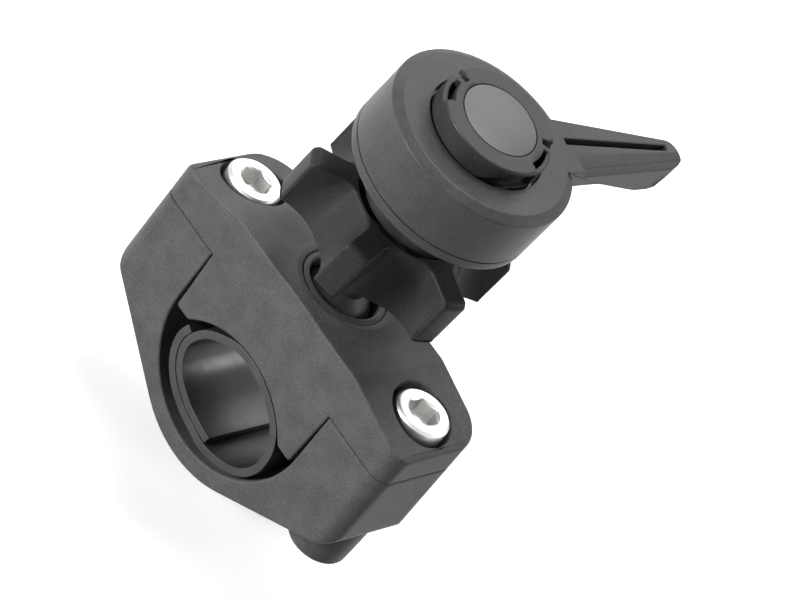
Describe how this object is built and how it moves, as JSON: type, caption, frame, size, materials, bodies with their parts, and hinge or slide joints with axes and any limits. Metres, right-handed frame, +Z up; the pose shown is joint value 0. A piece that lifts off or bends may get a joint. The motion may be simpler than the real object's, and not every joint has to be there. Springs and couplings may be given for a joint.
{
  "type": "handlebar phone mount",
  "caption": "Handlebar clamp with a ball joint, a lobed clamping knob and a round twist lock head with a release lever for a phone case.",
  "frame": {"origin": "centre of the lower jaw's bore, at the middle of the clamp's depth", "axes": "+Y along the handlebar, away from the rider's view in the picture; +X towards the clamp screw at the right; +Z up along the clamp screws"},
  "size_m": [0.0624, 0.0572, 0.0857],
  "materials": {
    "clamp_plastic": "fine grained black moulding",
    "satin_plastic": "satin black disc",
    "pale_plastic": "plain natural nylon",
    "strip_rubber": "plain black rubber",
    "bright_steel": "bright zinc plated",
    "dark_metal": "black anodised",
    "insert_brass": "plain turned brass"
  },
  "bodies": {
    "clamp": {"upper_clamp": "clamp_plastic", "rubber_strip": "strip_rubber", "well_bush": "dark_metal", "stud_screw": "bright_steel"},
    "lower_jaw": {"lower_clamp": "clamp_plastic", "threaded_inserts": "insert_brass"},
    "screw_left": {"clamp_screw_left": "bright_steel"},
    "screw_right": {"clamp_screw_right": "bright_steel"},
    "stud": {"ball_stud": "dark_metal"},
    "ball_seats": {"seat_ring": "dark_metal", "ball_pad": "pale_plastic"},
    "head": {"neck_core": "dark_metal", "cover_plate": "clamp_plastic", "cover_screws": "bright_steel", "return_spring": "bright_steel", "lock_boss": "clamp_plastic", "slide_washer": "pale_plastic", "boss_screw": "bright_steel", "cap_disc": "satin_plastic"},
    "knob": {"knob": "clamp_plastic"},
    "lever": {"lever_ring": "clamp_plastic", "lock_ring": "dark_metal"}
  },
  "joints": [
    {"name": "screw_left_turn", "type": "hinge", "parent": "clamp", "child": "screw_left", "pos_m": [-0.0242, 0, 0.0125], "axis": [0, 0, 1], "range_deg": [0, 2160]},
    {"name": "screw_right_turn", "type": "hinge", "parent": "clamp", "child": "screw_right", "pos_m": [0.0242, 0, 0.0125], "axis": [0, 0, 1], "range_deg": [0, 2160]},
    {"name": "jaw_open", "type": "slide", "parent": "clamp", "child": "lower_jaw", "axis": [0, 0, -1], "range_m": [0, 0.006]},
    {"name": "ball_swivel", "type": "hinge", "parent": "clamp", "child": "stud", "pos_m": [0, 0, 0.034], "axis": [0, 0, 1], "continuous": true},
    {"name": "ball_tilt", "type": "hinge", "parent": "stud", "child": "ball_seats", "pos_m": [0, 0, 0.034], "axis": [0.3006, 0.9538, 0], "range_deg": [-30.7, 19.3]},
    {"name": "head_spin", "type": "hinge", "parent": "ball_seats", "child": "head", "pos_m": [0, 0, 0.034], "axis": [0.0943, -0.0297, 0.9951], "continuous": true},
    {"name": "knob_turn", "type": "hinge", "parent": "head", "child": "knob", "pos_m": [0, 0, 0.034], "axis": [0.0943, -0.0297, 0.9951], "range_deg": [0, 360]},
    {"name": "lever_turn", "type": "hinge", "parent": "head", "child": "lever", "pos_m": [0, 0, 0.034], "axis": [0.0943, -0.0297, 0.9951], "range_deg": [0, 20], "stiffness_Nm_per_rad": 0.15, "springref_deg": -20.05}
  ],
  "couplings": [
    {"joint": "screw_left_turn", "follows": "jaw_open", "rad_per_m": 6283.2},
    {"joint": "screw_right_turn", "follows": "jaw_open", "rad_per_m": 6283.2}
  ]
}
